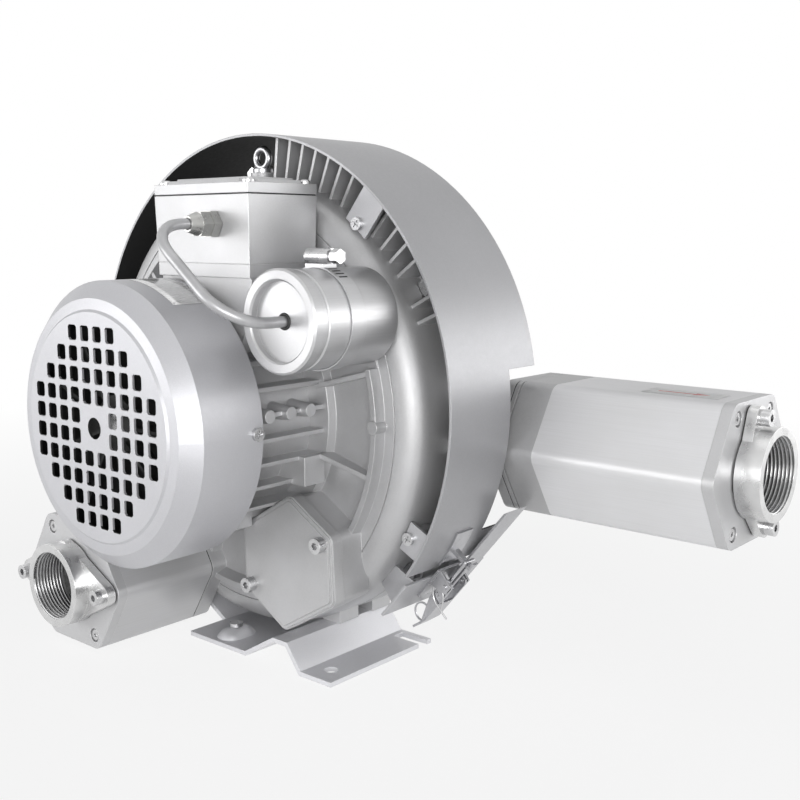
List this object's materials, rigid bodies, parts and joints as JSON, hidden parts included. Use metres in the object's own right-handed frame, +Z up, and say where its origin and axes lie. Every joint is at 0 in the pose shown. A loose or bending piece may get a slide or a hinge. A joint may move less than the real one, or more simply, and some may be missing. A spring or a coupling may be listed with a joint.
{
  "type": "two-stage side-channel blower",
  "caption": "Side-channel blower on a sheet foot: finned motor, strapped capacitor, banded housing with a draw latch, and threaded silencers on intake and outlet.",
  "frame": {"origin": "on the ground under the shaft, on the flat underside of the foot, close to the joint of motor and blower", "axes": "+Z up, -Y along the shaft towards the fan cowl and the intake port, +X towards the outlet port"},
  "size_m": [0.483, 0.284, 0.337],
  "materials": {
    "cast_silver": "fine grained silver paint on castings",
    "machined_alloy": "machined and blasted aluminium",
    "band_sheet": "smooth satin grey metallic paint on sheet",
    "cowl_sheet": "satin silver paint on pressed sheet",
    "foot_sheet": "satin silver paint on bent sheet",
    "silencer_alloy": "satin extruded aluminium",
    "can_alloy": "bright satin drawn aluminium",
    "plated_steel": "bright zinc plate",
    "core_iron": "dark laminated steel",
    "winding_copper": "lacquered copper wire",
    "black_rubber": "matt black rubber",
    "dark_plastic": "black moulded plastic",
    "grey_foam": "open grey sound absorbing foam"
  },
  "bodies": {
    "frame": {"foot": "foot_sheet", "foot_bolts": "plated_steel", "front_housing": "cast_silver", "centre_plate": "cast_silver", "rear_housing": "cast_silver", "housing_bolts": "plated_steel", "lifting_eye": "plated_steel", "shaft_seals": "black_rubber", "drive_bearing": "plated_steel", "fan_bearing": "plated_steel", "stator_core": "core_iron", "stator_windings": "winding_copper", "motor_frame": "cast_silver", "fan_end_shield": "cast_silver", "fan_cowl": "cowl_sheet", "cowl_screws": "plated_steel", "terminal_box": "cast_silver", "terminal_lid": "cast_silver", "lid_screws": "plated_steel", "lid_gasket": "black_rubber", "terminal_block": "dark_plastic", "cable_gland": "plated_steel", "gland_nut": "plated_steel", "capacitor_cable": "black_rubber", "capacitor_can": "can_alloy", "capacitor_cap": "can_alloy", "capacitor_cell": "dark_plastic", "clamp_band": "can_alloy", "clamp_screw": "plated_steel", "capacitor_bracket": "cast_silver", "shroud_band": "band_sheet", "band_brackets": "band_sheet", "band_screws": "plated_steel", "lower_band": "band_sheet", "latch_base": "plated_steel", "latch_keeper": "plated_steel", "port_cover": "cast_silver", "flange_screws": "plated_steel", "flange_gaskets": "black_rubber", "intake_muffler": "silencer_alloy", "intake_end_plate": "cast_silver", "intake_collar": "machined_alloy", "outlet_elbow": "cast_silver", "outlet_adapter": "cast_silver", "outlet_muffler": "silencer_alloy", "outlet_end_plate": "cast_silver", "outlet_collar": "machined_alloy", "muffler_foam": "grey_foam", "end_plate_screws": "plated_steel"},
    "rotor": {"motor_shaft": "plated_steel", "rotor_core": "core_iron", "cooling_fan": "dark_plastic", "drive_bearing_inner": "plated_steel", "fan_bearing_inner": "plated_steel", "front_impeller": "machined_alloy", "rear_impeller": "machined_alloy", "impeller_spacer": "machined_alloy", "impeller_nut": "plated_steel"},
    "lever": {"latch_lever": "plated_steel"},
    "bail": {"latch_bail": "plated_steel"}
  },
  "joints": [
    {"name": "rotor_spin", "type": "hinge", "parent": "frame", "child": "rotor", "pos_m": [0, 0, 0.16], "axis": [0, 1, 0], "continuous": true},
    {"name": "lever_turn", "type": "hinge", "parent": "frame", "child": "lever", "pos_m": [0.14646, 0.045, 0.05706], "axis": [0, -1, 0], "range_deg": [0, 110]},
    {"name": "bail_turn", "type": "hinge", "parent": "lever", "child": "bail", "pos_m": [0.1388, 0.045, 0.05063], "axis": [0, 1, 0], "range_deg": [0, 83]}
  ],
  "couplings": [
    {"joint": "bail_turn", "follows": "lever_turn", "ratio": 0.75}
  ]
}
